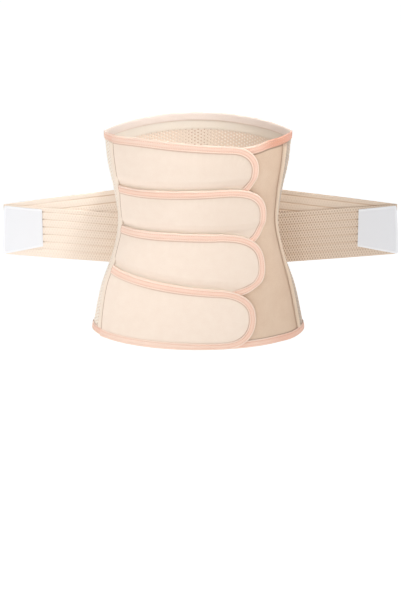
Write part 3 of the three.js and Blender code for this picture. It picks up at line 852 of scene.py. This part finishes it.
# Back panel: open mesh, with six-sided cells. Each cell is a web round a hole: its outer corners are
# shared with the next cells, then come the hole's rim and its floor, a little smaller.
netShape = {
    "pitch": 5.3, "hole": 1.3, "floor": 0.8, "depth": 0.7, "rimDrop": 0.16, "layLevel": 70, "laySteps": 400,
    "middleWidth": 26,  # inside, the painted shade in the holes is deep about the middle, and the holes are painted light to both sides
    "plainBand": 26, "plainEase": 1.5, "plainLift": 0.35,  # the lining has a plain band inside the upper edge
    "seamShade": (0.95, 26), "insideShade": (0.6, 38),  # depth and reach of the deeper tone by the right seam
    "tuck": 3, "sideTuck": 0.004,  # how far the net stops short of the cut edges, in mm and as a share
}


# The net as flat shares of width and height, with the part of the hole's depth at each point. Holes
# stand one above the other in columns, each column half a step up from the last.
def honeycomb(width, height):
    pitch = netShape["pitch"]
    radius = pitch / math.sqrt(3)
    columns, rows = int(width / (1.5 * radius)), int(height / pitch)
    row, column = (a.ravel() for a in np.meshgrid(np.arange(rows), np.arange(columns), indexing="ij"))
    centre = np.stack([(1.5 * column + 1) * radius, (row + 0.5 * (column % 2) + 0.5) * pitch], -1)
    turn = np.radians(60 * np.arange(6))
    spoke = np.stack([np.cos(turn), np.sin(turn)], -1)
    corner = centre[:, None] + spoke * radius
    shared, inverse = np.unique(np.round(corner.reshape(-1, 2), 3), axis=0, return_inverse=True)
    cornerAt = inverse.reshape(-1, 6)
    rim = (centre[:, None] + spoke * netShape["hole"]).reshape(-1, 2)
    floor = (centre[:, None] + spoke * netShape["hole"] * netShape["floor"]).reshape(-1, 2)
    flat = np.concatenate([shared, rim, floor])
    sunk = np.repeat([0, netShape["rimDrop"], 1], [len(shared), len(rim), len(floor)])
    rimAt = len(shared) + np.arange(len(rim)).reshape(-1, 6)
    floorAt = rimAt + len(rim)
    onward = np.roll(np.arange(6), -1)
    web = np.stack([cornerAt, cornerAt[:, onward], rimAt[:, onward], rimAt], -1)
    wall = np.stack([rimAt, rimAt[:, onward], floorAt[:, onward], floorAt], -1)
    bottom = np.stack([floorAt[:, [0, 1, 2, 3]], floorAt[:, [0, 3, 4, 5]]], 1)
    quads = np.concatenate([q.reshape(-1, 4) for q in (web, wall, bottom)])
    share = flat / [(1.5 * columns + 0.5) * radius, (rows + 0.5) * pitch]
    return share, sunk, quads


# One face of the back panel: the net laid round the tube between the seams.
def addNet(name, inside, nodes=()):
    shape, level, even = netShape, netShape["layLevel"], np.linspace(1, 2, netShape["laySteps"])
    tuck, sideTuck = shape["tuck"], shape["sideTuck"]
    laid = runLength(tubePoint(panelAngle(even, level), level, 0))
    width, height = laid[-1], topEdge(180) - bottomEdge(180) - 2 * tuck
    share, sunk, quads = honeycomb(width, height)
    place = np.interp(sideTuck + (1 - 2 * sideTuck) * share[:, 0], laid / width, even)
    top, bottom = panelEdges(place)
    z = blendTo(bottom + tuck, top - tuck, share[:, 1])
    angle = panelAngle(place, z)
    plain = toSide = np.zeros_like(z)
    lift = panelShape["backLift"]
    if inside:
        band, ease = shape["plainBand"], shape["plainEase"]
        plain = easeStep(band + ease, band - ease, top - z)
        lift = lift + shape["depth"] * sunk * (1 - plain) - shape["plainLift"] * plain
        quads = quads[:, ::-1]
    else:
        lift = lift + panelShape["cloth"] - shape["depth"] * sunk
    points = tubePoint(angle, z, lift)
    if inside:
        toSide = 1 - bell(points[:, 0], 0, shape["middleWidth"])
    depth, reach = shape["insideShade" if inside else "seamShade"]
    # the hole value carries the painted shade in the holes, the shade value painted shade by the right seam,
    # and the edge distance a painted shade line along the rims
    values = {
        "hole": sunk * (1 - plain), "plain": plain, "toSide": toSide,
        "edgeDistance": np.minimum(top - z, z - bottom),
        "shade": depth * np.exp(-share[:, 0] * width / reach),
    }
    uv = np.stack([share[:, 0] * width, z], -1)
    made = addPiece(name, points, quads, meshCloth, uv, values, nodes=nodes)


addNet("back_panel", False, ["back_panel"])
addNet("back_lining", True)
print("back panel made")


# Binding along the upper and lower edge of both panels: the step into the cloth is down or up, with painted
# shade towards the right seam and a deeper tone towards the left one.
rimShape = {
    "steps": 260, "frontShare": 0.36,
    "rightShade": (32, 58, 82, 92), "leftDeepTone": (265, 292), "paleInside": (55, 85, 275, 292),  # angles
    "rims": [
        {"name": "top_binding", "step": -1.0, "deepToneAndShade": 0.75, "seed": 41},
        {"name": "bottom_binding", "step": 1.0, "deepToneAndShade": 0.3, "seed": 43},
    ],
}


def addRims():
    front = int(rimShape["steps"] * rimShape["frontShare"])
    place = np.concatenate([np.linspace(0, 1, front), np.linspace(1, 2, rimShape["steps"] - front)[1:]])
    one, width = np.ones(place.size), bindingShape["width"]
    for rim, edgeHeight, level in zip(rimShape["rims"], (topEdge, bottomEdge), panelEdges(place)):
        z, step = edgeHeight(panelAngle(place, level)), rim["step"]
        angle = panelAngle(place, z)
        toRight = between(rimShape["rightShade"], angle)
        toLeft = flapMake["rootDeepTone"] * easeStep(*rimShape["leftDeepTone"], angle)
        edge = {
            "angle": angle, "z": z, "inAngle": (panelAngle(place, z + step * width) - angle) / width,
            "inZ": step * one, "share": one, "tone": one, "deepToneAndShade": rim["deepToneAndShade"] * toRight + toLeft,
            "paler": between(rimShape["paleInside"], angle), "root": farAway * one,
            "lift": lambda a, h: panelLift(a),
        }
        addBinding(rim["name"], edge, panelShape["cloth"], panelShape["gap"], rim["seed"])


addRims()
print("rim binding made")


# Boned tapes over the side seams: a flat flange on each side of a round ridge, sewn along both.
tapeShape = {
    "flange": 0.8, "ridge": 1.5, "ridgeShare": 0.72, "power": 2.6, "ends": 11.7, "steps": 110, "across": 25,
    "swell": 0.15, "swellLength": 60, "seed": 51, "sideLine": 0.6, "topLine": 0.22,
    "row": 0.9, "rowIn": 0.3, "stitch": 2.6, "stitchGap": 0.8, "thread": 0.22, "stitchLift": 0.05,
}
# The offset takes a tape's middle from its seam. The right one has a wider painted shade line along both
# sides, and one where it runs in under the upper rim.
tapes = [
    {"name": "left_tape", "seam": "leftSeam", "width": 12, "offset": -6, "lineBoth": False, "shade": 0.0},
    {"name": "right_tape", "seam": "rightSeam", "width": 10, "offset": 2, "lineBoth": True, "shade": 0.8},
]


def addTape(tape):
    shape, name, half = tapeShape, tape["name"], tape["width"] / 2

    def centreAngle(z):
        seam = section(tape["seam"], z)
        return seam + degreesOf(tape["offset"], seam, z)

    base = panelShape["backLift"] + panelShape["cloth"] + panelShape["gap"]
    flange = base + shape["flange"]
    top = topEdge(centreAngle(panelShape["topLevel"]) % 360) - shape["ends"]
    bottom = bottomEdge(centreAngle(panelShape["bottomLevel"]) % 360) + shape["ends"]
    z = np.linspace(bottom, top, shape["steps"])[:, None]
    offset = np.linspace(-half, half, shape["across"])[None]
    centre = centreAngle(z)
    degree = degreesOf(1, centre, z)
    angle = centre + degree * offset
    aside = np.abs(offset / (shape["ridgeShare"] * half))
    ridge = shape["ridge"] * np.clip(1 - aside ** shape["power"], 0, 1)
    waves = softWaves(z, offset * 0, shape["seed"], shape["swellLength"])
    swell = shape["swell"] * waves * (ridge > 0)
    outer, inner = tubePoint(angle, z, flange + ridge + swell), tubePoint(angle, z, base)
    along = runLength(inner)
    toEdge = half - offset
    if tape["lineBoth"]:
        toEdge = np.minimum(shape["sideLine"] * (half - np.abs(offset)), shape["topLine"] * (top - z))
    values = {"edgeDistance": toEdge, "shade": tape["shade"]}
    made = addWall(name, outer, inner, (along, offset), tapeCloth, values)
    rows = []
    sewnAt = shape["row"] * half - shape["rowIn"]
    for side in (-sewnAt, sewnAt):
        where, level = (centre + degree * side)[:, 0], z[:, 0]
        line = tubePoint(where, level, flange + shape["stitchLift"])
        rows.append(stitchRow(line, tubePoint(where, level, flange + 1) - line, shape))
    stitches = addStitches(name + "_stitching", rows, creamThread)


for tape in tapes:
    addTape(tape)
print("side tapes made")


# Ribbed elastic bands and their hook tabs. A band follows the back wall, leaves it straight, and is
# flat near its end; the second one of each side lies behind the first.
bandShape = {
    "rootWidth": 88, "width": 83, "cloth": 1.7, "firstGroove": 7.5, "pitch": 12.4, "grooves": 6,
    "grooveWidth": 0.75, "grooveDepth": 0.4, "crown": 0.3, "roll": 1.4, "rollDepth": 0.55,
    "stand": 0.95, "layerGap": 0.6, "rootStart": 9, "rootEnd": 30, "flatFrom": 230, "endY": 60, "slope": 0.14,
    "rootSteps": 8, "steps": 64, "across": 92,
    "rootRows": (12, 27), "rowPoints": 60, "rowIn": 3, "stitch": 2.8, "stitchGap": 0.8, "thread": 0.24,
    "plainOpen": 0.15, "plainPast": 2,  # the upper band's first ribs hardly show the open knit
    "openFrom": 15, "openTo": 110,  # from the tab, where the knit starts to open and is open
    "lineReach": 14, "besideIn": 4,  # the painted shade lines in the grooves show most beside the tab
}
bands = [
    {"name": "lower_band", "layer": 0, "rootZ": -78, "endZ": -39.5, "line": 0.35, "lineByTab": 0.6},
    {"name": "upper_band", "layer": 1, "rootZ": -13, "endZ": -39.5, "line": 0.85, "lineByTab": 0.0},
]
# The band of the right wing is painted darker as shade, that of the left one a little.
wings = [
    {"side": "left", "sign": -1, "reach": 309, "wingShade": 0.22, "openByTab": 0.1, "openByTube": 0.3,
     "lines": 2, "lineLeft": 0.25},
    {"side": "right", "sign": 1, "reach": 316, "wingShade": 1.0, "openByTab": 0.6, "openByTube": 0.85,
     "lines": 3, "lineLeft": 0.9},
]
tabShape = {
    "length": 61, "outerHeight": 81, "innerHeight": 62, "bow": 0.8, "lean": 2.4, "cloth": 1.6,
    "overhang": 1.5, "round": 3.0, "gap": 0.35, "crown": 0.35, "crownReach": 22,
    "hem": 4.2, "press": 0.3, "pressWidth": 0.8, "edge": 1.0, "edgeDrop": 0.5, "steps": 60, "rows": 70,
    "stitch": 2.6, "stitchGap": 0.9, "thread": 0.24, "stitchLift": 0.02, "sewnRow": 4, "hemEase": 0.6,
}


# Depth of the back wall's outside at a distance from the middle and a height.
def backFace(x, z):
    bow = 1 - (x / section("halfWidth", z)) ** 2
    wall = section("backDepth", z) * bow ** (tubeShape["backPower"] / 2)
    return wall + panelShape["backLift"] + panelShape["cloth"]


# Depth of a band's front: on the wall up to rootEnd, on the slanted wing from flatFrom, straight between.
def bandFront(wing, x, z):
    share = np.clip((x - bandShape["rootEnd"]) / (bandShape["flatFrom"] - bandShape["rootEnd"]), 0, 1)
    wingFace = bandShape["endY"] + bandShape["slope"] * (wing["reach"] - np.maximum(x, bandShape["flatFrom"]))
    return blendTo(backFace(np.minimum(x, bandShape["rootEnd"]), z), wingFace, share)


def addBand(wing, band):
    shape, lower, half = bandShape, band["layer"] == 0, bandShape["width"] / 2
    name = wing["side"] + "_" + band["name"]
    onWall = np.linspace(shape["rootStart"], shape["rootEnd"], shape["rootSteps"])
    x = np.concatenate([onWall, np.linspace(shape["rootEnd"], wing["reach"], shape["steps"])[1:]])[:, None]
    # rows are even, with three more beside each groove
    grooveAt = half - shape["firstGroove"] - shape["pitch"] * np.arange(shape["grooves"])
    beside = (grooveAt[:, None] + shape["grooveWidth"] * np.array([-1, 0, 1])).ravel()
    across = np.sort(np.concatenate([np.linspace(-half, half, shape["across"]), beside]))[None]

    def bandHeight(x, across):
        outward = (x - shape["rootStart"]) / (wing["reach"] - shape["rootStart"])
        widen = blendTo(shape["rootWidth"], shape["width"], outward) / shape["width"]
        return blendTo(band["rootZ"], band["endZ"], outward) + widen * across

    z = bandHeight(x, across)
    fromGroove = np.abs(across[..., None] - grooveAt).min(-1)
    groove = bell(fromGroove, 0, shape["grooveWidth"])
    roll = shape["rollDepth"] * np.clip((np.abs(across) - half + shape["roll"]) / shape["roll"], 0, 1) ** 2
    crown = shape["crown"] * np.clip(1 - 2 * fromGroove / shape["pitch"], 0, 1) ** 2  # ribs are round across
    sink = shape["grooveDepth"] * groove + crown + roll
    stand = shape["stand"] + band["layer"] * (shape["cloth"] + shape["layerGap"])
    front = bandFront(wing, x, z) + stand

    def face(y):
        return np.stack(np.broadcast_arrays(wing["sign"] * x, y, z), -1)

    outer, inner = face(front + shape["cloth"] - sink), face(front + sink)
    along = runLength(inner)
    fromTab = wing["reach"] - tabShape["length"] - x
    besideTab = (across > shape["besideIn"] - tabShape["innerHeight"] / 2) & lower
    inward = easeStep(shape["openFrom"], shape["openTo"], fromTab)
    plain = (across > grooveAt[wing["lines"] - 1] - shape["plainPast"]) & (not lower)
    # strength of the painted shade line in each groove, strongest beside the tab
    line = np.where(plain | lower, band["line"], 0) * blendTo(wing["lineLeft"], 1, inward)
    line = line + band["lineByTab"] * besideTab * np.exp(-np.abs(fromTab) / shape["lineReach"])
    opened = blendTo(wing["openByTab"], wing["openByTube"], inward)
    values = {
        "groove": groove * line, "openness": np.where(plain, shape["plainOpen"], 1) * opened,
        "fromTab": np.where(besideTab, fromTab, farAway), "wingShade": wing["wingShade"],
    }
    made = addWall(name, outer, inner, (along, across), elasticKnit, values)
    rows = []
    reach = np.linspace(shape["rowIn"] - half, half - shape["rowIn"], shape["rowPoints"])
    for place in shape["rootRows"]:
        high, out = bandHeight(place, reach), np.full(reach.size, float(place))
        line = np.stack([wing["sign"] * out, bandFront(wing, out, high) + stand + shape["cloth"], high], -1)
        rows.append(stitchRow(line, np.tile([0.0, 1.0, 0.0], (reach.size, 1)), shape))
    stitches = addStitches(name.replace("band", "stitching"), rows, creamThread)


# Hook tab: a plate that widens outwards. Its outer edge is bowed and leans out below, with round
# corners, and its front is crowned, with a line pressed in along the hem.
def addTab(wing):
    shape, sign, name = tabShape, wing["sign"], wing["side"] + "_tab"
    share = np.linspace(0, 1, shape["steps"])[:, None]
    up = np.linspace(-1, 1, shape["rows"])[None]
    whole = shape["length"] + shape["overhang"]
    reach = whole + shape["bow"] * (1 - up ** 2) - shape["lean"] * up
    x, toEnd = share * reach, (1 - share) * reach
    half = blendTo(shape["innerHeight"], shape["outerHeight"], np.clip(x / whole, 0, 1)) / 2
    rounded = shape["round"] - np.minimum(toEnd, shape["round"])
    half = half - shape["round"] + np.sqrt(shape["round"] ** 2 - rounded ** 2)
    z = up * half
    toEdge = np.minimum(np.minimum((1 - np.abs(up)) * half, toEnd), x + shape["hem"] * 2)
    crown = shape["crown"] * easeStep(0, shape["crownReach"], toEdge)
    crown = crown - shape["press"] * bell(toEdge, shape["hem"], shape["pressWidth"])
    crown = crown - shape["edgeDrop"] * (1 - np.clip(toEdge / shape["edge"], 0, 1)) ** 2
    turn = -sign * math.atan(bandShape["slope"])
    sine, cosine = math.sin(turn), math.cos(turn)

    def placed(localY):
        localX, y, high = np.broadcast_arrays(sign * (x - shape["length"]), localY, z)
        wx = sign * wing["reach"] + cosine * localX - sine * y
        wy = bandShape["endY"] + bandShape["stand"] - shape["gap"] + sine * localX + cosine * y
        return np.stack([wx, wy, high + bands[0]["endZ"]], -1)

    outer, inner = placed(-shape["cloth"] - crown), placed(0.0)
    hem = easeStep(shape["hem"] + shape["hemEase"], shape["hem"] - shape["hemEase"], toEdge)
    made = addWall(name, outer, inner, (x, z), hookSheet, {"hem": hem})
    # one row of stitches along the hem: the lower edge, the outer edge and the upper edge
    i, j = int(round((1 - shape["hem"] / whole) * (shape["steps"] - 1))), shape["sewnRow"]
    front = placed(-shape["cloth"] - shape["stitchLift"])
    line = np.concatenate([front[2:i, j], front[i, j:-j], front[2:i, -1 - j][::-1]])
    rows = [stitchRow(line, np.tile([sine, -cosine, 0.0], (len(line), 1)), shape)]
    stitches = addStitches(name + "_stitching", rows, whiteThread)


for wing in wings:
    for band in bands:
        addBand(wing, band)
    addTab(wing)
print("bands and tabs made")


# Pale floor well below, and soft light: a surround that is brightest at the horizon, a wide beam from
# the front that fades out towards the right, a small one from above into the opening, and a soft panel.
studio = {
    "floorZ": -0.95, "floorHalf": 14.0, "floorGlow": 0.62,
    "floor": {"name": "pale_floor", "roughness": 0.95, "grain": 40, "light": (250, 250, 250),
              "dark": (248, 248, 248)},
    "horizon": 1.0, "sky": 0.37, "skyFrom": 0.1, "skyTo": 0.4,  # brightness by the sine of the height angle
    "beams": [
        {"name": "key", "at": (-1.3, -3.0, 1.5), "to": (-0.37, 0.0, -0.12), "cone": 15.0, "blend": 0.45,
         "size": 0.4, "watts": 152},
        {"name": "opening", "at": (0.4, -0.3, 1.5), "to": (0.0, 0.08, 0.11), "cone": 9.6, "blend": 0.8,
         "size": 0.2, "watts": 228},
    ],
    "panel": {"name": "top", "at": (0.1, -0.2, 1.9), "to": (0, 0, 0), "size": 1.4, "watts": 12},
}


def addLamp(light, kind):
    data = bpy.data.lights.new(light["name"], kind)
    data.energy = light["watts"]
    addAimed(data, light["at"], Vector(light["to"]) - Vector(light["at"]))
    return data


def addStudio():
    half, z = studio["floorHalf"], studio["floorZ"]
    mesh = bpy.data.meshes.new("floor")
    corners = [(-half, -half, z), (half, -half, z), (half, half, z), (-half, half, z)]
    mesh.from_pydata(corners, [], [(0, 1, 2, 3)])
    paved = makeFinish(studio["floor"], clothSurface)
    inputs = paved.node_tree.nodes["Principled BSDF"].inputs
    inputs["Emission Color"].default_value = (1, 1, 1, 1)
    inputs["Emission Strength"].default_value = studio["floorGlow"]
    mesh.materials.append(paved)
    floor = bpy.data.objects.new("floor", mesh)
    bpy.context.collection.objects.link(floor)
    for light in studio["beams"]:
        beam = addLamp(light, "SPOT")
        beam.spot_size = math.radians(light["cone"])
        beam.spot_blend = light["blend"]
        beam.shadow_soft_size = light["size"]
    addLamp(studio["panel"], "AREA").size = studio["panel"]["size"]
    world = bpy.data.worlds.new("surround")
    world.use_nodes = True
    tree = world.node_tree
    toward = addNode(tree, "ShaderNodeTexCoord").outputs["Generated"]
    height = addNode(tree, "ShaderNodeSeparateXYZ", {0: toward}).outputs[2]
    glow = spanned(tree, height, *(studio[key] for key in ("skyFrom", "skyTo", "horizon", "sky")))
    background = tree.nodes["Background"].inputs
    background["Color"].default_value = (1, 1, 1, 1)
    tree.links.new(glow, background["Strength"])
    bpy.context.scene.world = world
    bpy.context.scene.view_settings.view_transform = "Standard"


addStudio()
print("studio set")

bpy.context.view_layer.update()
